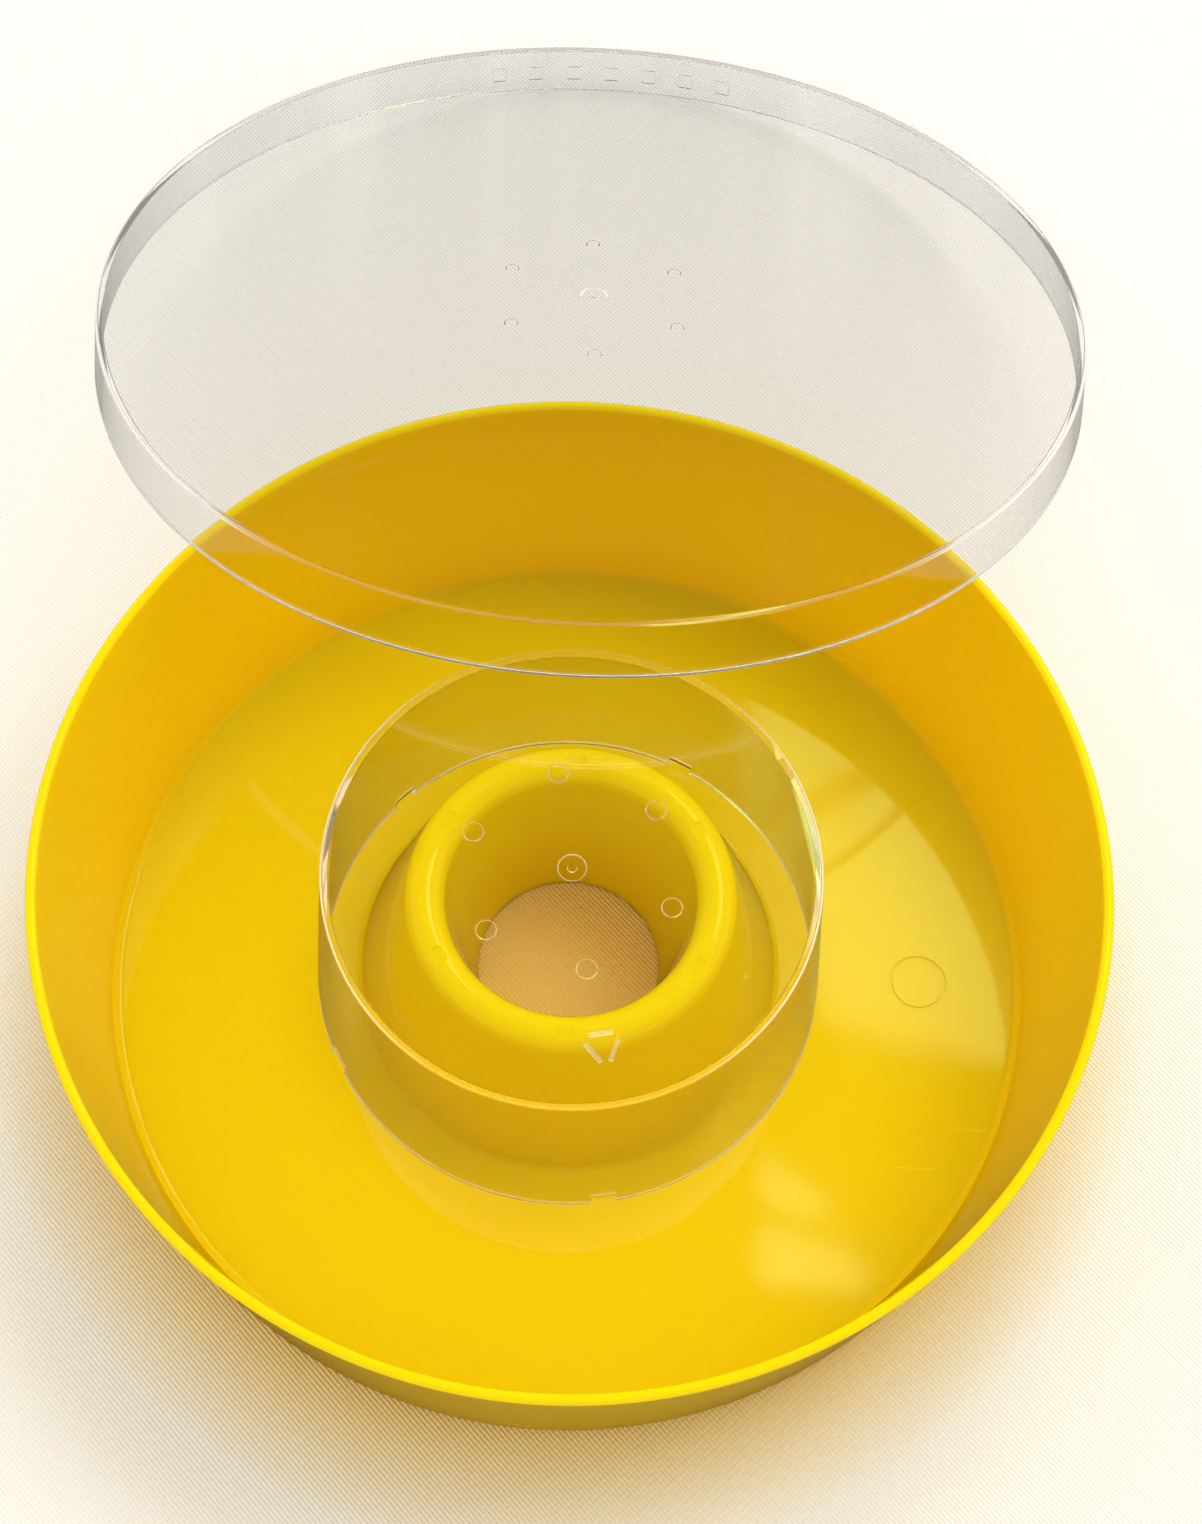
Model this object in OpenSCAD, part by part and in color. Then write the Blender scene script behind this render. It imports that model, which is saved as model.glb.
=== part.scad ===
// Wasp trap: an open tray with a hollow entry cone, a clear cup-shaped cap turned over
// the cone, and a clear shallow lid.
// Millimetres, +Z up. The origin is on the tray's axis, at its underside.
// At rest the cap stands over the cone and the lid leans on the tray: the back edge of its
// lip is on the table and its flat top lies on the tray's rim.

/* [Tray] */
// Outside diameter of the tray across its rim
tray_rim_d = 200; // [180:1:206]
// Outside diameter of the tray at its underside
tray_base_d = 186.4; // [170:0.2:190]
// Height of the tray from its underside to the top of its rim
tray_h = 55; // [52:1:70]
// Thickness of the tray's walls
tray_wall = 2; // [1.4:0.1:2.6]
// Thickness of the tray's floor
tray_floor = 2; // [1.4:0.1:2.6]
// Diameter of the round mark moulded in the floor
floor_mark_d = 11.6; // [6:0.2:16]

/* [Entry cone] */
// Diameter of the entry hole at the underside
throat_base_d = 36.6; // [30:0.2:42]
// Outside diameter of the cone where it meets the floor
cone_base_d = 84; // [78:0.5:90]
// Height of the cone's rounded top above the underside
crown_h = 38; // [30:0.5:42]
// Diameter of the circle along the middle of the rounded top
crown_mid_d = 56; // [52:0.5:60]
// Radius of the rounded top
crown_round = 4; // [3:0.1:5]
// Diameter of the flat spots on the rounded top
crown_spot_d = 3.6; // [2:0.1:5]

/* [Entry cap] */
// Outside diameter of the cap's flat top
cap_top_d = 93.8; // [92:0.2:96]
// Outside diameter of the cap at its open edge
cap_base_d = 101.2; // [99:0.2:104]
// Height of the cap
cap_h = 47.4; // [44:0.1:49]
// Thickness of the cap's wall and top
cap_wall = 1.5; // [1:0.1:2]
// Number of drain notches in the cap's open edge
notch_count = 5; // [3:1:8]
// Width of a drain notch
notch_w = 5; // [3:0.1:8]
// Height of a drain notch
notch_h = 3.2; // [2:0.1:5]

/* [Lid] */
// Outside diameter of the lid's flat top
lid_top_d = 207.4; // [207:0.2:212]
// Outside diameter of the lid at the edge of its lip
lid_edge_d = 210; // [209.4:0.2:215]
// Height of the lid
lid_h = 12.5; // [10:0.1:16]
// Thickness of the lid's lip and top
lid_wall = 1.5; // [1.2:0.1:2]
// Number of plain ribs on the lip
lip_rib_count = 7; // [3:1:11]

/* [Lid at rest] */
// Angle at which the lid leans
lean = 18.8; // [18.6:0.1:19.2]
// Sideways place of the lid
lean_side = -3; // [-5:0.5:5]

/* [Moulding marks] */
// Number of round marks in each ring
mark_count = 6; // [3:1:8]
// Diameter of the ring of marks on the cap and on the lid
mark_ring_d = 40; // [30:1:44]
// Diameter of a mark on the cap
cap_mark_d = 4.1; // [2:0.1:6]
// Diameter of a mark on the lid
lid_mark_d = 3; // [2:0.1:5]
// Diameter of the dimple in the middle of the cap and of the lid
gate_d = 5.6; // [4:0.1:8]

/* [Hidden] */
$fn = 96;

clear_fit = 0.3;        // free gap under the cap's edge
lid_fit = 0.8;          // free gap between the lid and the tray's rim
eps = 0.05;             // overreach of a cutter past the face that it opens
mark_depth = 0.25;      // depth of every moulded mark
base_round = 1.5;       // outer corner under the tray's wall
floor_round = 2;        // inner corner between the floor and the wall
cone_round = 1.5;       // inner corner between the floor and the cone
shell_round = 0.8;      // outer corner round the top of the cap and of the lid
gate_nub_d = 1.4;       // cut-off stub of the feed in the middle of a gate dimple
bar_l = 6.4;            // length of each bar of the triangle mark
bar_w = 0.9;            // width of each bar of the triangle mark
rib_w = 3.2;            // width of a plain rib on the lip
rib_h = 3.4;            // height of a plain rib on the lip
rib_step = 5;           // angle from one plain rib to the next

// Azimuths, anticlockwise from +X
crown_spot_az = 31;
notch_az = 65;
cap_mark_az = 41;
lid_mark_az = 33;
triangle_az = -77.6;
triangle_r = 34.8;
floor_mark_r = 71;

// Angles of the sloping walls from the vertical
wall_draft = atan((tray_rim_d - tray_base_d) / 2 / tray_h);
cap_draft = atan((cap_base_d - cap_top_d) / 2 / cap_h);
lid_draft = atan((lid_edge_d - lid_top_d) / 2 / lid_h);

// Centre of the rounded top in the half section, and where its two tangent walls leave it
crown = [crown_mid_d / 2, crown_h - crown_round];
flank_az = tangent_angle([cone_base_d / 2, tray_floor], crown, crown_round, 1);
throat_az = tangent_angle([throat_base_d / 2, 0], crown, crown_round, -1);

// Middle of the lip's edge: its height over the table with the lid's back edge down on it,
// and its distance from the axis with the underside of the lid's top just clear of the rim
lean_z = lid_edge_d / 2 * sin(lean);
lean_reach = (tray_rim_d - tray_wall) / 2
    + ((tray_h - tray_wall / 2 - lean_z) * cos(lean) - lid_h + lid_wall + tray_wall / 2 + lid_fit)
    / sin(lean);

// Points of an arc about c, from angle a0 to angle a1
function arc(c, r, a0, a1, n = 8) =
    [for (i = [0:n]) c + r * [cos(a0 + (a1 - a0) * i / n), sin(a0 + (a1 - a0) * i / n)]];

// Angle, seen from the circle's centre, at which the line from p touches the circle
function tangent_angle(p, c, r, side) =
    atan2(p[1] - c[1], p[0] - c[0]) + side * acos(r / norm(p - c));

// Radius of the tray's outer face at height z
function tray_r(z) = tray_base_d / 2 + z * tan(wall_draft);

// Radius of the cone's outer face at height z
function flank_r(z) = cone_base_d / 2 - (z - tray_floor) * tan(flank_az);

// Half section of the tray, from the groove under the cone round by the rim and the crown
function tray_section() = concat(
    [[flank_r(0) - tray_wall / cos(flank_az), 0]],
    arc([tray_r(base_round) - base_round / cos(wall_draft), base_round],
        base_round, -90, -wall_draft),
    arc([tray_r(tray_h - tray_wall / 2) - tray_wall / 2 / cos(wall_draft), tray_h - tray_wall / 2],
        tray_wall / 2, -wall_draft, 180 - wall_draft),
    arc([tray_r(tray_floor + floor_round) - (tray_wall + floor_round) / cos(wall_draft),
         tray_floor + floor_round], floor_round, -wall_draft, -90),
    arc([flank_r(tray_floor + cone_round) + cone_round / cos(flank_az), tray_floor + cone_round],
        cone_round, 270, 180 + flank_az),
    arc(crown, crown_round, flank_az, 360 + throat_az, 16),
    [[throat_base_d / 2, 0]],
    [[throat_base_d / 2 - tray_wall / cos(throat_az), 0]],
    arc(crown, crown_round - tray_wall, 360 + throat_az, flank_az, 16)
);

// Half section of an upturned cup: edge radius, top radius, height, wall and draft
function cup_section(edge_r, top_r, h, wall, draft) = concat(
    [[edge_r - wall / cos(draft), 0]],
    [[edge_r, 0]],
    arc([top_r + shell_round * tan(draft) - shell_round / cos(draft), h - shell_round],
        shell_round, draft, 90),
    [[0, h]],
    [[0, h - wall]],
    [[top_r + wall * tan(draft) - wall / cos(draft), h - wall]]
);

// Copies its children round the Z axis
module ring_of(count, ring_r, first_az) {
    for (i = [0:count - 1])
        rotate([0, 0, first_az + i * 360 / count])
            translate([ring_r, 0, 0])
                children();
}

// Cutter for the feed dimple and the ring of marks in a flat top whose upper face is at z
module top_marks(z, wall, mark_d, first_az) {
    translate([0, 0, z - mark_depth])
        difference() {
            cylinder(d = gate_d, h = mark_depth + eps);
            translate([0, 0, -eps])
                cylinder(d = gate_nub_d, h = mark_depth);
        }
    translate([0, 0, z - wall - eps])
        ring_of(mark_count, mark_ring_d / 2, first_az)
            cylinder(d = mark_d, h = mark_depth + eps);
}

// Triangle of three raised bars, with no letters
module triangle_mark() {
    side_in = bar_l / 2 * tan(30) + bar_w / 2;
    for (i = [0:2])
        rotate([0, 0, 120 * i])
            translate([-bar_l / 2 + bar_w, -side_in - bar_w / 2, -mark_depth])
                cube([bar_l - 2 * bar_w, bar_w, mark_depth + eps]);
}

// Tray and entry cone, one moulding
module tray() {
    color("gold")
        difference() {
            rotate_extrude()
                polygon(tray_section());
            translate([0, 0, crown_h - mark_depth])
                ring_of(mark_count, crown_mid_d / 2, crown_spot_az)
                    cylinder(d = crown_spot_d, h = 1);
            translate([floor_mark_r, 0, tray_floor - mark_depth])
                difference() {
                    cylinder(d = floor_mark_d, h = 1);
                    translate([0, 0, -eps])
                        cylinder(d = floor_mark_d - 1.2, h = 1 + 2 * eps);
                }
        }
}

// Clear cap that stands over the entry cone
module entry_cap() {
    color("lightcyan", 0.35)
        translate([0, 0, tray_floor + clear_fit]) {
            difference() {
                rotate_extrude()
                    polygon(cup_section(cap_base_d / 2, cap_top_d / 2, cap_h, cap_wall, cap_draft));
                ring_of(notch_count, cap_base_d / 2, notch_az)
                    translate([-3 * cap_wall, -notch_w / 2, -eps])
                        cube([6 * cap_wall, notch_w, notch_h + eps]);
                top_marks(cap_h, cap_wall, cap_mark_d, cap_mark_az);
            }
            rotate([0, 0, triangle_az])
                translate([triangle_r, 0, cap_h - cap_wall])
                    rotate([0, 0, -90])
                        triangle_mark();
        }
}

// Lid in its own place, its lip's edge on z = 0
module lid_shell() {
    difference() {
        rotate_extrude()
            polygon(cup_section(lid_edge_d / 2, lid_top_d / 2, lid_h, lid_wall, lid_draft));
        top_marks(lid_h, lid_wall, lid_mark_d, lid_mark_az);
    }
    first = 90 - rib_step * (lip_rib_count - 1) / 2;
    for (i = [0:lip_rib_count - 1])
        rotate([0, 0, first + i * rib_step])
            translate([lid_edge_d / 2 - lid_wall - 0.5, -rib_w / 2, lid_h / 2 - rib_h / 2 - 2])
                rotate([0, -lid_draft, 0])
                    cube([lid_wall + 0.3, rib_w, rib_h]);
}

// Clear lid, leaning on the tray
module lid() {
    color("aliceblue", 0.35)
        translate([lean_side, lean_reach, lean_z])
            rotate([-lean, 0, 0])
                lid_shell();
}

tray();
entry_cap();
lid();
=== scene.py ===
"""Looks of the wasp trap: a yellow tray with an entry cone, a clear cap over the cone and a clear lid
that leans on the rim. Everything is in metres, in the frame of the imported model."""

import math

import bmesh
import bpy
from mathutils import Matrix, Vector


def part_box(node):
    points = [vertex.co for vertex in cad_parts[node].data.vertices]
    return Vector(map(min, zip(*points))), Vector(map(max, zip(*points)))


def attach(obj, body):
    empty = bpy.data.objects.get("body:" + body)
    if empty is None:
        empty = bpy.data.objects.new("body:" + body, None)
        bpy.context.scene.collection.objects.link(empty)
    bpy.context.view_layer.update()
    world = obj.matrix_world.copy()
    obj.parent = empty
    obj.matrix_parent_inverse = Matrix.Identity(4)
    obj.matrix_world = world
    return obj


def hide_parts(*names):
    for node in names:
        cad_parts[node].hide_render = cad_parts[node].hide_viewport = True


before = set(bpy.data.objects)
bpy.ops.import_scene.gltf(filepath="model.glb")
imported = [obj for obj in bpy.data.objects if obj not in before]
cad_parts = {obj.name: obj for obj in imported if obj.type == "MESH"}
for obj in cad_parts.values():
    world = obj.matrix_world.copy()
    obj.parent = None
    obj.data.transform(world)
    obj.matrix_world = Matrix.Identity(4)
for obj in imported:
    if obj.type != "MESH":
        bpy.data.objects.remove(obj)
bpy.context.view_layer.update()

MM = 0.001
TURN_STEPS = 288  # facets round a turned shape
SHARP = math.radians(32)  # a steeper edge is shaded crisp

# Tray and entry cone
TRAY_RIM_R = 100 * MM
TRAY_BASE_R = 93.2 * MM
TRAY_H = 55 * MM
TRAY_WALL = 2 * MM
RIM_ROUND = 0.46 * TRAY_WALL
TRAY_FLOOR = 2 * MM
BASE_ROUND = 1.5 * MM
FLOOR_ROUND = 2 * MM
CONE_ROUND = 1.5 * MM
CONE_BASE_R = 42 * MM
THROAT_BASE_R = 18.3 * MM
CROWN_R = 28 * MM
CROWN_H = 38 * MM
CROWN_ROUND = 4 * MM
CROWN_SPOT_R = 1.8 * MM
CROWN_SPOT_AZ = 31
FLOOR_MARK_R = 5.8 * MM
FLOOR_MARK_W = 0.6 * MM
FLOOR_MARK_AT = 71 * MM

# Entry cap
CAP_TOP_R = 46.9 * MM
CAP_BASE_R = 50.6 * MM
CAP_H = 47.4 * MM
NOTCH_COUNT = 5
NOTCH_AZ = 65
NOTCH_W = 5 * MM
NOTCH_H = 3.2 * MM
CAP_MARK_R = 2.05 * MM
CAP_MARK_AZ = 41
TRIANGLE_AZ = -77.6
TRIANGLE_AT = 34.8 * MM
BAR_L = 6.4 * MM
BAR_W = 0.9 * MM

# Lid
LID_TOP_R = 103.7 * MM
LID_EDGE_R = 105 * MM
LID_H = 12.5 * MM
LEAN = math.radians(18.8)
LID_MARK_R = 1.5 * MM
LID_MARK_AZ = 33
RIB_COUNT = 7
RIB_STEP = 5
RIB_W = 3.2 * MM
RIB_H = 3.4 * MM
RIB_IN = 0.8 * MM  # from the lip's outer face to the middle of a rib
RIB_LOWERED = 2 * MM  # from the middle of the lip's height to the middle of a rib

# Both clear mouldings
CLEAR_WALL = 1.5 * MM
SHELL_ROUND = 0.8 * MM
EDGE_ROUND = 0.25 * MM
MARK_RING_R = 20 * MM
MARK_COUNT = 6
MARK_DEPTH = 0.25 * MM
MARK_SLOPE = 0.25 * MM  # a mark's wall leans by this much either way
GATE_R = 2.8 * MM
GATE_NUB_R = 0.7 * MM
GATE_STEPS = 48

# Camera
CAMERA_AT = (4.2 * MM, -187.6 * MM, 475.1 * MM)
CAMERA_PITCH = math.radians(63.75)
CAMERA_ROLL = math.radians(3.34)
CAMERA_LENS = 59.06

# Room that lights things. A ramp is (from, to, value at the first, value at the second) over one
# coordinate of a direction: the height is its Z, and the depth is its Y, which points away from the
# camera. The three ramps are multiplied.
ROOM_COLOUR = (1.0, 0.97, 0.9, 1)
ROOM_BY_HEIGHT = (0.15, 0.5, 0.5, 1.7)
ROOM_OVERHEAD = (0.79, 0.93, 1.0, 0.75)
ROOM_BY_DEPTH = (-0.6, 0.6, 0.61, 0.85)

# Room that is mirrored once. It is dim, so that the yellow keeps its colour: pale low walls that fade
# upwards and away from the camera, and a row of hanging folds.
MIRROR_BY_HEIGHT = (0.3, 0.6, 0.6, 0.03)
MIRROR_BY_DEPTH = (0.2, 0.6, 1.0, 0.03)
FOLDS_BY_HEIGHT = (0.15, 0.3, 0.5, 0.03)
FOLDS_PER_UNIT = 22.0
FOLDS_CONTRAST = (0.45, 0.65, 0.0, 1.0)

# Lamps, each as its name, azimuth, elevation and power
KEYS = [("key_back", 80, 58, 3.3), ("key_right", 25, 58, 3.3)]
KEY_SIZE = 0.45
KEY_DISTANCE = 1.4
KEY_COLOUR = (1.0, 0.95, 0.86)

# Window panes overhead, each as its name, its corners on the plane of the window and its radiance
PANE_HEIGHT = 1.2
PANE_COLOUR = (0.6, 1, 0.35, 1)
PANES = [
    ("pane_far", [(0.13, 0.60), (0.09, 0.80), (0.60, 1.10), (0.60, 0.92)], 6.0),
    ("pane_near", [(0.14, 0.585), (0.60, 0.90), (0.60, 0.36), (0.175, 0.44)], 6.0),
    ("pane_low_far", [(0.13, 0.344), (0.181, 0.307), (0.162, 0.297), (0.13, 0.312)], 7.0),
    ("pane_low_near", [(0.13, 0.294), (0.193, 0.278), (0.206, 0.252), (0.129, 0.253)], 7.0),
]

# Table cloth
CLOTH_REACH = 4  # half the side of the floor
CLOTH_GAP = 0.2 * MM  # the cloth lies this little under the tray, so no two faces coincide
# The weave's pattern with painted shade: the cloth is darker between the threads and lighter on them
CLOTH_SHADED_GAPS = (0.9, 0.885, 0.86, 1)  # between the threads
CLOTH_LIT_THREADS = (0.99, 0.975, 0.95, 1)  # on the threads
# Painted yellow light and shade: it stands in for light through the yellow plastic in the entry hole, and it
# darkens the cloth beside the tray's foot as a painted shadow
CLOTH_PAINTED_LIGHT_AND_SHADE = (0.92, 0.68, 0.2, 1)  # light that has come through the yellow plastic
PAINTED_SHADE_BESIDE_FOOT = 0.9  # share of the cast right beside the tray's foot
PAINTED_SHADE_REACH = 24 * MM  # distance from the foot at which it ends
PAINTED_LIGHT_FADE_IN_HOLE = 2 * MM  # distance over which it ends round the hole
WARP_STEP = 1.1 * MM
WEFT_STEP = 1.6 * MM
WEFT_SHARE = 0.4

# Yellow plastic
YELLOW_DEEP = (0.875, 0.605, 0.003, 1)
YELLOW_PALE = (0.905, 0.64, 0.004, 1)
YELLOW_GLOW = (1.0, 0.88, 0.04)  # how far red, green and blue light travel inside it
YELLOW_GLOW_SCALE = 0.004
CONE_RING_STEP = 0.8 * MM  # between the faint turning rings on the cone

# Clear plastic: the tint, how much of a lamp's light passes face on and at a slant, the frost on the walls
# of its moulded marks, which is partly a painted highlight for their glints, and the depth of the fine rings
# round its wall
CAP_LOOK = {"tint": (1, 1, 1, 1), "shades": (1.0, 0.96), "frost_and_glint_of_marks": 0.25, "ring_depth": 0.4}
LID_LOOK = {"tint": (0.97, 0.975, 1.0, 1), "shades": (0.91, 0.7), "frost_and_glint_of_marks": 0.0, "ring_depth": 0.0}
CLEAR_INDEX = 1.57
CLEAR_ROUGH = 0.012
FROST_ROUGH = 0.4  # roughness that full frost adds
# The frost on the triangle's bars is partly a painted highlight for their glints
BAR_FROST_AND_GLINT = 0.13  # frost on the triangle's bars
# Painted highlight: white frost on a cup's edge lines, stronger towards its sides, stands in for the glints
# there
EDGE_HIGHLIGHT_RAMP = (0.5, 0.95, 0.08, 0.7)  # frost on a cup's edge lines: a ramp from its front to its sides
WALL_RING_STEP = 1 * MM

# A ray that has crossed or been mirrored by more clear faces than this goes straight on
MOST_PASSES = 6.5
MOST_MIRRORED = 2.5


# ---- Half sections ----------------------------------------------------------------------------------


def polar(radius, angle):
    """Point at that radius and angle, in radians."""
    return radius * math.cos(angle), radius * math.sin(angle)


def arc(centre, radius, start, end, steps):
    """Points of an arc in the half section, from one angle to another in degrees."""
    points = []
    for i in range(steps + 1):
        a = math.radians(start + (end - start) * i / steps)
        x, y = polar(radius, a)
        points.append((centre[0] + x, centre[1] + y))
    return points


def filleted(corners, steps=6):
    """Closed outline through (radius, height, fillet) corners, with each corner rounded to its fillet."""
    outline = []
    for i, (r, z, fillet) in enumerate(corners):
        here = Vector((r, z))
        if fillet == 0:
            outline.append((r, z))
            continue
        to_last = (Vector(corners[i - 1][:2]) - here).normalized()
        to_next = (Vector(corners[(i + 1) % len(corners)][:2]) - here).normalized()
        half = to_last.angle(to_next) / 2
        middle = here + (to_last + to_next).normalized() * fillet / math.sin(half)
        first = here + to_last * fillet / math.tan(half) - middle
        last = here + to_next * fillet / math.tan(half) - middle
        sweep = math.atan2(first.x * last.y - first.y * last.x, first.dot(last))
        start = math.atan2(first.y, first.x)
        outline += arc(middle, fillet, math.degrees(start), math.degrees(start + sweep), steps)
    return outline


def tangent_angle(point, centre, radius, side):
    """Angle in degrees, seen from the circle's centre, at which the line from a point touches the circle."""
    away = Vector(point) - Vector(centre)
    return math.degrees(math.atan2(away.y, away.x) + side * math.acos(radius / away.length))


def tray_section():
    """Half section of the tray, from the groove under the cone round by the rim and the crown back to it."""
    crown = (CROWN_R, CROWN_H - CROWN_ROUND)
    flank = tangent_angle((CONE_BASE_R, TRAY_FLOOR), crown, CROWN_ROUND, 1)
    throat = tangent_angle((THROAT_BASE_R, 0), crown, CROWN_ROUND, -1)
    slope = math.tan(math.radians(flank))
    draft = math.atan((TRAY_RIM_R - TRAY_BASE_R) / TRAY_H)
    wall = TRAY_WALL / math.cos(draft)
    foot = CONE_BASE_R + TRAY_FLOOR * slope - TRAY_WALL / math.cos(math.radians(flank))
    inner_r = TRAY_BASE_R + TRAY_FLOOR * math.tan(draft) - wall
    throat_outer = THROAT_BASE_R - TRAY_WALL / math.cos(math.radians(throat))
    outer = filleted(
        [
            (throat_outer, 0, 0),
            (foot, 0, 0),
            (TRAY_BASE_R, 0, BASE_ROUND),
            (TRAY_RIM_R, TRAY_H, RIM_ROUND),
            (TRAY_RIM_R - wall, TRAY_H, RIM_ROUND),
            (inner_r, TRAY_FLOOR, FLOOR_ROUND),
            (CONE_BASE_R, TRAY_FLOOR, CONE_ROUND),
            (crown[0], crown[1], 0),
        ]
    )
    top = arc(crown, CROWN_ROUND, flank, 360 + throat, 24)
    under = arc(crown, CROWN_ROUND - TRAY_WALL, 360 + throat, flank, 16)
    return outer[1:-1] + top + [(THROAT_BASE_R, 0), (throat_outer, 0)] + under


def cup_section(edge_r, top_r, height):
    """Half section of an upturned clear cup with its edge at height 0."""
    draft = math.atan((edge_r - top_r) / height)
    wall = CLEAR_WALL / math.cos(draft)
    inner_top = top_r + CLEAR_WALL * math.tan(draft) - wall
    return filleted(
        [
            (edge_r - wall, 0, EDGE_ROUND),
            (edge_r, 0, EDGE_ROUND),
            (top_r, height, SHELL_ROUND),
            (0, height, 0),
            (0, height - CLEAR_WALL, 0),
            (inner_top, height - CLEAR_WALL, EDGE_ROUND),
        ]
    )


# ---- Meshes -----------------------------------------------------------------------------------------


def new_object(name, bm):
    """Scene object from a bmesh, which is freed."""
    mesh = bpy.data.meshes.new(name)
    bm.to_mesh(mesh)
    bm.free()
    made = bpy.data.objects.new(name, mesh)
    bpy.context.scene.collection.objects.link(made)
    return made


def turned(name, outline):
    """Closed solid of revolution about Z of an outline of (radius, height) points."""
    bm = bmesh.new()
    rings = []
    for r, z in outline:
        if r < 1e-7:
            rings.append([bm.verts.new((0, 0, z))])
            continue
        rings.append([bm.verts.new((*polar(r, math.tau * i / TURN_STEPS), z)) for i in range(TURN_STEPS)])
    for k, ring in enumerate(rings):
        after = rings[(k + 1) % len(rings)]
        for i in range(TURN_STEPS):
            j = (i + 1) % TURN_STEPS
            if len(ring) > 1 and len(after) > 1:
                bm.faces.new((ring[i], ring[j], after[j], after[i]))
            elif len(ring) > 1:
                bm.faces.new((ring[i], ring[j], after[0]))
            elif len(after) > 1:
                bm.faces.new((ring[0], after[j], after[i]))
    bmesh.ops.recalc_face_normals(bm, faces=bm.faces)
    return new_object(name, bm)


def turned_by(degrees):
    """Rotation about Z."""
    return Matrix.Rotation(math.radians(degrees), 4, "Z")


def add_disc(bm, radius, depth, at, turn=0, steps=32, taper=0.0):
    """Adds a disc to a bmesh, standing on a point turned about Z, with its top narrower by the taper."""
    bmesh.ops.create_cone(
        bm,
        cap_ends=True,
        segments=steps,
        radius1=radius,
        radius2=radius - taper,
        depth=depth,
        matrix=turned_by(turn) @ Matrix.Translation(at) @ Matrix.Translation((0, 0, depth / 2)),
    )


def add_block(bm, size, place):
    """Adds a block of that size, centred on the place's origin, to a bmesh."""
    bmesh.ops.create_cube(bm, size=1, matrix=place @ Matrix.Diagonal((*size, 1)))


def carved(piece, tool, operation):
    """Cuts or joins the tool into the piece for good, and removes the tool."""
    step = piece.modifiers.new("carve", "BOOLEAN")
    step.operation = operation
    step.object = tool
    step.solver = "EXACT"
    shaped = piece.evaluated_get(bpy.context.evaluated_depsgraph_get())
    mesh = bpy.data.meshes.new_from_object(shaped)
    piece.modifiers.clear()
    piece.data = mesh
    bpy.data.objects.remove(tool)


def finish_piece(piece, material, body, node):
    """Smooth shading with crisp corners, the material, and the piece's place in the frame."""
    piece.data.materials.clear()
    piece.data.materials.append(material)
    piece.data.shade_smooth()
    piece.data.set_sharp_from_angle(angle=SHARP)
    normals = piece.modifiers.new("even_normals", "WEIGHTED_NORMAL")
    normals.keep_sharp = True
    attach(piece, body)
    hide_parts(node)


def marks_cutter(top, mark_r, first_az):
    """Cutter for the feed dimple on a flat top at that height and the ring of marks under it."""
    bm = bmesh.new()
    low = top - MARK_DEPTH
    high = top + MARK_DEPTH
    outline = [
        (GATE_R + MARK_SLOPE, high),
        (GATE_R - MARK_SLOPE, low),
        (GATE_NUB_R + MARK_SLOPE, low),
        (GATE_NUB_R, high),
    ]
    rings = []
    for r, z in outline:
        rings.append([bm.verts.new((*polar(r, math.tau * i / GATE_STEPS), z)) for i in range(GATE_STEPS)])
    for k, ring in enumerate(rings):
        after = rings[(k + 1) % len(rings)]
        for i in range(GATE_STEPS):
            j = (i + 1) % GATE_STEPS
            bm.faces.new((ring[i], ring[j], after[j], after[i]))
    bmesh.ops.recalc_face_normals(bm, faces=bm.faces)
    at = (MARK_RING_R, 0, top - CLEAR_WALL - MARK_DEPTH)
    for i in range(MARK_COUNT):
        az = first_az + i * 360 / MARK_COUNT
        add_disc(bm, mark_r + MARK_SLOPE, 2 * MARK_DEPTH, at, az, taper=2 * MARK_SLOPE)
    return new_object("cutter", bm)


def floor_mark_cutter():
    """Cutter for the ring mark in the tray's floor."""
    bm = bmesh.new()
    at = (FLOOR_MARK_AT, 0, TRAY_FLOOR - MARK_DEPTH)
    add_disc(bm, FLOOR_MARK_R, 4 * MARK_DEPTH, at, steps=64)
    ring = new_object("cutter", bm)
    bm = bmesh.new()
    at = (FLOOR_MARK_AT, 0, TRAY_FLOOR - 2 * MARK_DEPTH)
    add_disc(bm, FLOOR_MARK_R - FLOOR_MARK_W, 6 * MARK_DEPTH, at, steps=64)
    carved(ring, new_object("cutter", bm), "DIFFERENCE")
    return ring


def tray_moulding():
    """Tray and entry cone, with flats on the crown and a ring mark in the floor."""
    tray = turned("tray_moulding", tray_section())
    bm = bmesh.new()
    at = (CROWN_R, 0, CROWN_H - MARK_DEPTH)
    for i in range(MARK_COUNT):
        add_disc(bm, CROWN_SPOT_R, 4 * MARK_DEPTH, at, CROWN_SPOT_AZ + i * 360 / MARK_COUNT)
    carved(tray, new_object("cutter", bm), "DIFFERENCE")
    carved(tray, floor_mark_cutter(), "DIFFERENCE")
    return tray


def notches_cutter():
    """Cutter for the drain notches in the cap's open edge."""
    bm = bmesh.new()
    for i in range(NOTCH_COUNT):
        place = turned_by(NOTCH_AZ + i * 360 / NOTCH_COUNT) @ Matrix.Translation((CAP_BASE_R, 0, 0))
        add_block(bm, (6 * CLEAR_WALL, NOTCH_W, 2 * NOTCH_H), place)
    return new_object("cutter", bm)


def triangle_bars():
    """Three plain bars under the cap's top, which make a triangle."""
    bm = bmesh.new()
    middle = Matrix.Translation((TRIANGLE_AT, 0, CAP_H - CLEAR_WALL - MARK_DEPTH / 2))
    place = turned_by(TRIANGLE_AZ) @ middle @ turned_by(-90)
    side_in = BAR_L / 2 * math.tan(math.radians(30)) + BAR_W / 2
    for i in range(3):
        side = turned_by(120 * i) @ Matrix.Translation((0, -side_in, 0))
        add_block(bm, (BAR_L - 2 * BAR_W, BAR_W, 1.4 * MARK_DEPTH), place @ side)
    return new_object("cutter", bm)


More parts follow.
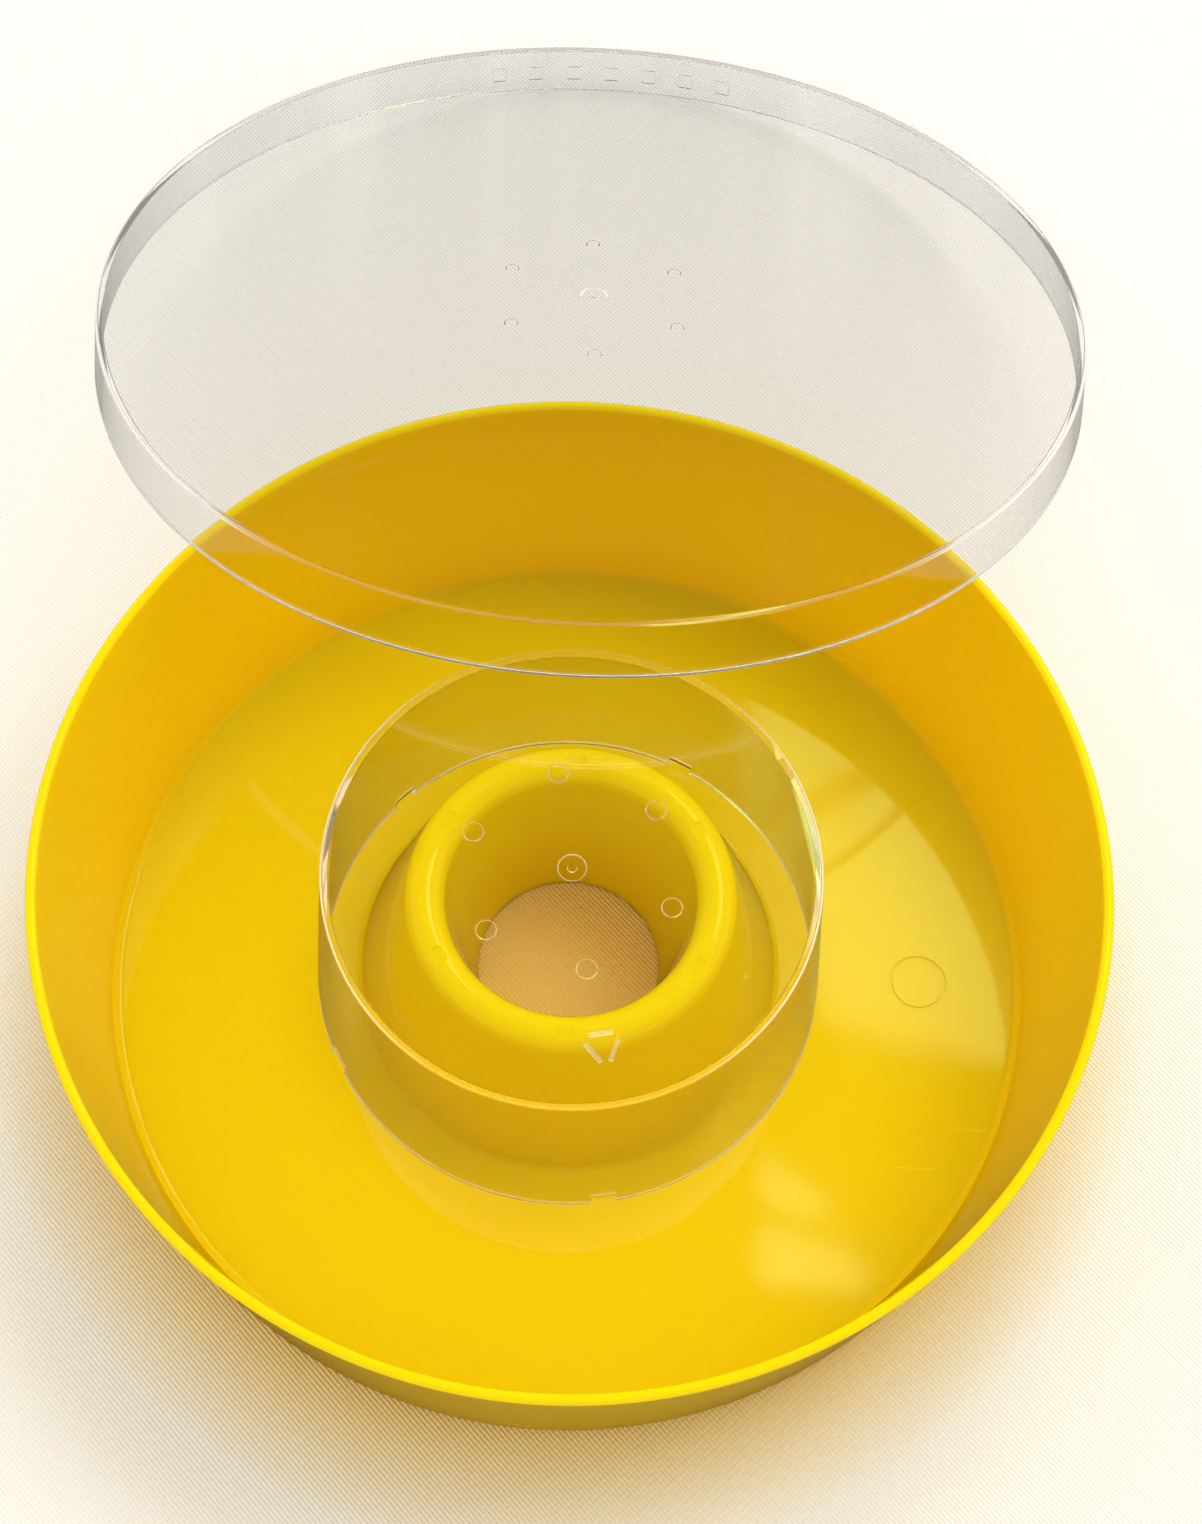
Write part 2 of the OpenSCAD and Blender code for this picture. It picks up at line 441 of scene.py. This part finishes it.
def cap_moulding():
    """Clear cap with notches in its edge, round marks and a plain triangle."""
    cap = turned("cap_moulding", cup_section(CAP_BASE_R, CAP_TOP_R, CAP_H))
    carved(cap, marks_cutter(CAP_H, CAP_MARK_R, CAP_MARK_AZ), "DIFFERENCE")
    carved(cap, notches_cutter(), "DIFFERENCE")
    carved(cap, triangle_bars(), "UNION")
    cap.data.transform(Matrix.Translation((0, 0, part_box("entry_cap")[0].z)))
    return cap


def lid_place():
    """Middle of the circle of the lid's lip, with the lid's back edge on the table."""
    low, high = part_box("lid")
    return (low.x + high.x) / 2, low.y + LID_EDGE_R * math.cos(LEAN), LID_EDGE_R * math.sin(LEAN)


def lid_moulding():
    """Clear lid with plain ribs on its lip, leaning on the tray's rim."""
    lid = turned("lid_moulding", cup_section(LID_EDGE_R, LID_TOP_R, LID_H))
    carved(lid, marks_cutter(LID_H, LID_MARK_R, LID_MARK_AZ), "DIFFERENCE")
    draft = math.atan((LID_EDGE_R - LID_TOP_R) / LID_H)
    bm = bmesh.new()
    for i in range(RIB_COUNT):
        place = turned_by(90 + RIB_STEP * (i - (RIB_COUNT - 1) / 2))
        place = place @ Matrix.Translation((LID_EDGE_R - RIB_IN, 0, LID_H / 2 - RIB_LOWERED))
        place = place @ Matrix.Rotation(-draft, 4, "Y")
        add_block(bm, (CLEAR_WALL, RIB_W, RIB_H), place)
    carved(lid, new_object("cutter", bm), "UNION")
    lid.data.transform(Matrix.Translation(lid_place()) @ Matrix.Rotation(-LEAN, 4, "X"))
    return lid


# ---- Materials --------------------------------------------------------------------------------------


def new_material(name):
    """Empty node material, with its tree and its output node."""
    material = bpy.data.materials.new(name)
    material.use_nodes = True
    tree = material.node_tree
    tree.nodes.clear()
    return material, tree, tree.nodes.new("ShaderNodeOutputMaterial")


def linked(tree, kind, inputs=None, **settings):
    """New node with its settings, and with each named or numbered input set or linked."""
    node = tree.nodes.new(kind)
    for key, value in settings.items():
        setattr(node, key, value)
    for key, value in (inputs or {}).items():
        if isinstance(value, bpy.types.NodeSocket):
            tree.links.new(value, node.inputs[key])
        else:
            node.inputs[key].default_value = value
    return node


def maths(tree, operation, a, b=0.0):
    """Output of a Math node."""
    return linked(tree, "ShaderNodeMath", {0: a, 1: b}, operation=operation).outputs[0]


def noise(tree, place, scale, detail=3.0, rough=0.5):
    """Output of a noise texture at that scale, in features per metre."""
    inputs = {"Vector": place, "Scale": scale, "Detail": detail, "Roughness": rough}
    return linked(tree, "ShaderNodeTexNoise", inputs).outputs["Fac"]


def spread(tree, value, low, high, to_low, to_high):
    """Value moved from one range to another, and held inside it."""
    inputs = {"Value": value, "From Min": low, "From Max": high, "To Min": to_low, "To Max": to_high}
    return linked(tree, "ShaderNodeMapRange", inputs).outputs[0]


def band(tree, value, low, high):
    """1 where the value is between low and high, and 0 elsewhere."""
    above = maths(tree, "GREATER_THAN", value, low)
    return maths(tree, "MULTIPLY", above, maths(tree, "LESS_THAN", value, high))


def distance(tree, a, b):
    """Length of the vector (a, b)."""
    squares = maths(tree, "ADD", maths(tree, "MULTIPLY", a, a), maths(tree, "MULTIPLY", b, b))
    return maths(tree, "SQRT", squares)


def scratches(tree, place, turn, scale, stretch):
    """Sparse long thin scratches: 1 on a scratch and 0 elsewhere."""
    inputs = {"Vector": place, "Rotation": (0, 0, turn), "Scale": (scale, scale * stretch, scale)}
    along = linked(tree, "ShaderNodeMapping", inputs)
    fibre = noise(tree, along.outputs[0], 1.0, 2.0)
    return spread(tree, fibre, 0.72, 0.78, 0.0, 1.0)


def ridges(tree, value, step):
    """Even ridges along a length, from -1 to 1, with that step between two of them."""
    return maths(tree, "SINE", maths(tree, "MULTIPLY", value, math.tau / step))


def split(tree, vector):
    """The three coordinates of a vector."""
    return linked(tree, "ShaderNodeSeparateXYZ", {0: vector}).outputs


def cone_rings(tree, parts, radius):
    """Faint turning rings on the upper part of the cone."""
    upper = spread(tree, parts[2], 12 * MM, 30 * MM, 0.0, 1.0)
    inner = spread(tree, radius, CONE_BASE_R, CONE_BASE_R + 4 * MM, 1.0, 0.0)
    on_cone = maths(tree, "MULTIPLY", upper, inner)
    return maths(tree, "MULTIPLY", ridges(tree, radius, CONE_RING_STEP), on_cone)


def yellow_plastic():
    """Glossy yellow moulded plastic, slightly translucent, with faint turning rings and scratches."""
    material, tree, output = new_material("yellow_plastic")
    place = linked(tree, "ShaderNodeTexCoord").outputs["Object"]
    parts = split(tree, place)
    radius = distance(tree, parts[0], parts[1])
    cloud = noise(tree, place, 22.0, 2.0)
    colour = linked(tree, "ShaderNodeMix", {0: cloud, 6: YELLOW_DEEP, 7: YELLOW_PALE}, data_type="RGBA")
    one_way = scratches(tree, place, 0.6, 30.0, 30.0)
    other_way = scratches(tree, place, 2.1, 24.0, 34.0)
    marks = maths(tree, "MAXIMUM", one_way, other_way)
    peel = maths(tree, "MULTIPLY", noise(tree, place, 700.0, 2.0), 0.35)
    height = maths(tree, "ADD", peel, maths(tree, "MULTIPLY", marks, -0.5))
    height = maths(tree, "ADD", height, maths(tree, "MULTIPLY", cone_rings(tree, parts, radius), 0.12))
    bump = linked(tree, "ShaderNodeBump", {"Strength": 0.25, "Distance": 0.06 * MM, "Height": height})
    worn = maths(tree, "MULTIPLY", marks, 0.15)
    rough = maths(tree, "ADD", spread(tree, cloud, 0.3, 0.7, 0.04, 0.07), worn)
    inputs = {
        "Base Color": colour.outputs[2],
        "Roughness": rough,
        "IOR": 1.49,
        "Specular IOR Level": 0.3,
        "Normal": bump.outputs[0],
        "Subsurface Weight": 1.0,
        "Subsurface Radius": YELLOW_GLOW,
        "Subsurface Scale": YELLOW_GLOW_SCALE,
    }
    shader = linked(tree, "ShaderNodeBsdfPrincipled", inputs)
    tree.links.new(shader.outputs[0], output.inputs[0])
    return material


def painted_edge_highlights(tree, parts, radius, top_r, height):
    """Painted highlights: white frost on a cup's outer corner and on its open edge, stronger towards the
    cup's sides, where the glints fall.
    """
    corner = band(tree, parts[2], height - SHELL_ROUND, height - 0.1 * MM)
    corner = maths(tree, "MULTIPLY", corner, band(tree, radius, top_r - 0.9 * MM, top_r))
    edge = band(tree, parts[2], -1 * MM, 0.45 * MM)
    sideways = maths(tree, "DIVIDE", maths(tree, "ABSOLUTE", parts[0]), radius)
    return maths(tree, "MULTIPLY", maths(tree, "MAXIMUM", corner, edge), spread(tree, sideways, *EDGE_HIGHLIGHT_RAMP))


def marks_frost_and_glints(tree, parts, radius, top_r, height, frost_and_glint_of_marks):
    """Frost on the slanting walls of a cup's moulded marks, and on bars that stand out under its top. The
    frost is partly a painted highlight that stands in for their glints.
    """
    under = height - CLEAR_WALL
    low_walls = band(tree, parts[2], under + 0.03 * MM, under + 0.22 * MM)
    high_walls = band(tree, parts[2], height - 0.22 * MM, height - 0.03 * MM)
    walls = maths(tree, "MULTIPLY", maths(tree, "MAXIMUM", low_walls, high_walls), frost_and_glint_of_marks)
    bars = maths(tree, "MULTIPLY", band(tree, parts[2], under - 1 * MM, under - 0.03 * MM), BAR_FROST_AND_GLINT)
    on_top = band(tree, radius, -1 * MM, 0.9 * top_r)
    return maths(tree, "MULTIPLY", maths(tree, "MAXIMUM", walls, bars), on_top)


def clear_normal(tree, place, parts, top_r, ring_depth):
    """Normal of a clear face: slow waves, and fine rings that grow towards the cup's right side."""
    right = spread(tree, parts[0], 0, top_r, 0, 1)
    rings = maths(tree, "MULTIPLY", ridges(tree, parts[2], WALL_RING_STEP), ring_depth)
    rings = maths(tree, "MULTIPLY", rings, right)
    wave = maths(tree, "MULTIPLY", noise(tree, place, 35.0, 1.0), 4.0)
    inputs = {"Strength": 0.2, "Distance": 0.04 * MM, "Height": maths(tree, "ADD", wave, rings)}
    return linked(tree, "ShaderNodeBump", inputs).outputs[0]


def goes_straight(tree):
    """1 for rays of lamps and diffuse light and for rays caught between clear faces, and 0 for others."""
    path = linked(tree, "ShaderNodeLightPath").outputs
    lamp_ray = maths(tree, "MAXIMUM", path["Is Shadow Ray"], path["Is Diffuse Ray"])
    crossed = maths(tree, "GREATER_THAN", path["Transmission Depth"], MOST_PASSES)
    mirrored = maths(tree, "GREATER_THAN", path["Glossy Depth"], MOST_MIRRORED)
    return maths(tree, "MAXIMUM", lamp_ray, maths(tree, "MAXIMUM", crossed, mirrored))


def clear_plastic(name, at, tilt, top_r, height, look):
    """Clear polished plastic of a turned cup that stands at a place with a tilt. Its edges carry white frost
    as a painted highlight, stronger towards its sides, its moulded marks are a little frosted, partly as a
    painted highlight for their glints, and lamps shine through it."""
    material, tree, output = new_material(name)
    place = linked(tree, "ShaderNodeTexCoord").outputs["Object"]
    inputs = {"Vector": place, "Location": at, "Rotation": (tilt, 0, 0)}
    parts = split(tree, linked(tree, "ShaderNodeMapping", inputs, vector_type="TEXTURE").outputs[0])
    radius = distance(tree, parts[0], parts[1])
    marks = marks_frost_and_glints(tree, parts, radius, top_r, height, look["frost_and_glint_of_marks"])
    # frost of the marks, together with the painted edge highlights
    frost = maths(tree, "MAXIMUM", marks, painted_edge_highlights(tree, parts, radius, top_r, height))
    worn = maths(tree, "MULTIPLY", scratches(tree, place, 1.1, 40.0, 30.0), 0.04)
    rough = maths(tree, "ADD", worn, CLEAR_ROUGH)
    rough = maths(tree, "ADD", rough, maths(tree, "MULTIPLY", frost, FROST_ROUGH))
    inputs = {
        "Base Color": look["tint"],
        "Roughness": rough,
        "IOR": CLEAR_INDEX,
        "Transmission Weight": maths(tree, "SUBTRACT", 1.0, frost),
        "Normal": clear_normal(tree, place, parts, top_r, look["ring_depth"]),
    }
    glass = linked(tree, "ShaderNodeBsdfPrincipled", inputs)
    slant = linked(tree, "ShaderNodeLayerWeight", {"Blend": 0.5}).outputs["Facing"]
    through = linked(tree, "ShaderNodeBsdfTransparent", {0: spread(tree, slant, 0.4, 0.95, *look["shades"])})
    inputs = {0: goes_straight(tree), 1: glass.outputs[0], 2: through.outputs[0]}
    both = linked(tree, "ShaderNodeMixShader", inputs)
    tree.links.new(both.outputs[0], output.inputs[0])
    return material


def painted_cloth_light_and_shade(tree, radius):
    """Share of painted yellow light and shade on the cloth: all in the entry hole, and some beside the
    tray's foot as a painted shadow.
    """
    hole_end = THROAT_BASE_R + PAINTED_LIGHT_FADE_IN_HOLE
    in_hole = spread(tree, radius, THROAT_BASE_R, hole_end, 1.0, 0.0)
    beside = spread(tree, radius, TRAY_BASE_R, TRAY_BASE_R + PAINTED_SHADE_REACH, PAINTED_SHADE_BESIDE_FOOT, 0.0)
    outside = maths(tree, "MULTIPLY", beside, maths(tree, "GREATER_THAN", radius, hole_end))
    return maths(tree, "MAXIMUM", in_hole, outside)


def table_cloth():
    """Plain white cloth with a fine diagonal weave. Painted yellow light and shade stands in for the light
    that comes through the yellow plastic into the entry hole, and a painted shadow darkens the cloth beside
    the tray's foot."""
    material, tree, output = new_material("table_cloth")
    place = linked(tree, "ShaderNodeTexCoord").outputs["Object"]
    parts = split(tree, place)
    warp = ridges(tree, maths(tree, "ADD", parts[0], parts[1]), WARP_STEP)
    weft = ridges(tree, maths(tree, "SUBTRACT", parts[0], parts[1]), WEFT_STEP)
    height = maths(tree, "ADD", warp, maths(tree, "MULTIPLY", weft, WEFT_SHARE))
    bump = linked(tree, "ShaderNodeBump", {"Strength": 0.6, "Distance": 0.2 * MM, "Height": height})
    # painted shade of the weave: lighter on the threads, darker between them
    weave = spread(tree, height, -1 - WEFT_SHARE, 1 + WEFT_SHARE, 0.0, 1.0)
    cloth = linked(tree, "ShaderNodeMix", {0: weave, 6: CLOTH_SHADED_GAPS, 7: CLOTH_LIT_THREADS}, data_type="RGBA")
    # painted yellow light and shade in the entry hole, and painted shadow beside the tray's foot
    painted_share = painted_cloth_light_and_shade(tree, distance(tree, parts[0], parts[1]))
    inputs = {0: painted_share, 6: cloth.outputs[2], 7: CLOTH_PAINTED_LIGHT_AND_SHADE}
    colour = linked(tree, "ShaderNodeMix", inputs, data_type="RGBA", blend_type="MULTIPLY")
    inputs = {"Base Color": colour.outputs[2], "Roughness": 0.9, "Normal": bump.outputs[0]}
    shader = linked(tree, "ShaderNodeBsdfPrincipled", inputs)
    tree.links.new(shader.outputs[0], output.inputs[0])
    return material


# ---- Stage ------------------------------------------------------------------------------------------


def make_floor():
    """Wide flat floor under the object."""
    bm = bmesh.new()
    bmesh.ops.create_grid(bm, x_segments=1, y_segments=1, size=CLOTH_REACH)
    floor = new_object("floor", bm)
    floor.data.materials.append(table_cloth())
    floor.location.z = -CLOTH_GAP


def make_world():
    """Two rooms round the object: a pale one that lights things, and a dim one that shows in their gloss."""
    world = bpy.data.worlds.new("surroundings")
    world.use_nodes = True
    tree = world.node_tree
    tree.nodes.clear()
    parts = split(tree, linked(tree, "ShaderNodeTexCoord").outputs["Generated"])

    low = spread(tree, parts[2], *ROOM_BY_HEIGHT)
    overhead = spread(tree, parts[2], *ROOM_OVERHEAD)
    facing = spread(tree, parts[1], *ROOM_BY_DEPTH)
    lights = maths(tree, "MULTIPLY", maths(tree, "MULTIPLY", low, overhead), facing)

    by_height = spread(tree, parts[2], *MIRROR_BY_HEIGHT)
    sides = maths(tree, "MULTIPLY", by_height, spread(tree, parts[1], *MIRROR_BY_DEPTH))
    across = linked(tree, "ShaderNodeCombineXYZ", {0: parts[0]}).outputs[0]
    folds = spread(tree, noise(tree, across, FOLDS_PER_UNIT, 2.0), *FOLDS_CONTRAST)
    folds = maths(tree, "MULTIPLY", folds, spread(tree, parts[2], *FOLDS_BY_HEIGHT))
    mirrors = maths(tree, "MAXIMUM", sides, folds)

    turns = linked(tree, "ShaderNodeLightPath").outputs["Glossy Depth"]
    once = linked(tree, "ShaderNodeMath", {0: turns, 1: 1.0, 2: 0.5}, operation="COMPARE").outputs[0]
    strength = linked(tree, "ShaderNodeMix", {0: once, 2: lights, 3: mirrors}).outputs[0]
    sky = linked(tree, "ShaderNodeBackground", {"Color": ROOM_COLOUR, "Strength": strength})
    output = tree.nodes.new("ShaderNodeOutputWorld")
    tree.links.new(sky.outputs[0], output.inputs[0])
    bpy.context.scene.world = world


def direction(azimuth, elevation):
    """Unit vector towards an azimuth, anticlockwise from +X, and an elevation, in degrees."""
    a = math.radians(azimuth)
    e = math.radians(elevation)
    return Vector((math.cos(a) * math.cos(e), math.sin(a) * math.cos(e), math.sin(e)))


def make_lamp(name, azimuth, elevation, power):
    """Square area lamp aimed at the tray, with no reflection of its own."""
    data = bpy.data.lights.new(name, "AREA")
    data.size = KEY_SIZE
    data.energy = power
    data.color = KEY_COLOUR
    lamp = bpy.data.objects.new(name, data)
    bpy.context.scene.collection.objects.link(lamp)
    away = direction(azimuth, elevation)
    lamp.location = away * KEY_DISTANCE
    lamp.rotation_mode = "QUATERNION"
    lamp.rotation_quaternion = away.to_track_quat("Z", "Y")
    lamp.visible_glossy = False
    lamp.visible_transmission = False


def make_pane(name, corners, radiance):
    """Window pane overhead that only shows as a reflection."""
    bm = bmesh.new()
    bm.faces.new([bm.verts.new((x, y, PANE_HEIGHT)) for x, y in corners])
    pane = new_object(name, bm)
    material, tree, output = new_material(name)
    glow = linked(tree, "ShaderNodeEmission", {"Color": PANE_COLOUR, "Strength": radiance})
    tree.links.new(glow.outputs[0], output.inputs[0])
    pane.data.materials.append(material)
    pane.visible_camera = False
    pane.visible_diffuse = False
    pane.visible_shadow = False


def make_camera():
    """Camera over the front of the tray, looking steeply down."""
    data = bpy.data.cameras.new("camera")
    data.lens = CAMERA_LENS
    data.clip_start = 0.01
    camera = bpy.data.objects.new("camera", data)
    bpy.context.scene.collection.objects.link(camera)
    tilt = Matrix.Rotation(math.pi / 2 - CAMERA_PITCH, 4, "X") @ Matrix.Rotation(CAMERA_ROLL, 4, "Z")
    camera.matrix_world = Matrix.Translation(CAMERA_AT) @ tilt
    bpy.context.scene.camera = camera


# ---- The scene --------------------------------------------------------------------------------------

make_camera()
make_world()
make_floor()
for name, azimuth, elevation, power in KEYS:
    make_lamp(name, azimuth, elevation, power)
for name, corners, radiance in PANES:
    make_pane(name, corners, radiance)
bpy.context.scene.view_settings.view_transform = "Standard"

yellow = yellow_plastic()
finish_piece(tray_moulding(), yellow, "tray", "tray")

cap_at = (0, 0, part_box("entry_cap")[0].z)
cap_clear = clear_plastic("clear_plastic_cap", cap_at, 0, CAP_TOP_R, CAP_H, CAP_LOOK)
finish_piece(cap_moulding(), cap_clear, "entry_cap", "entry_cap")

lid_clear = clear_plastic("clear_plastic_lid", lid_place(), -LEAN, LID_TOP_R, LID_H, LID_LOOK)
finish_piece(lid_moulding(), lid_clear, "lid", "lid")
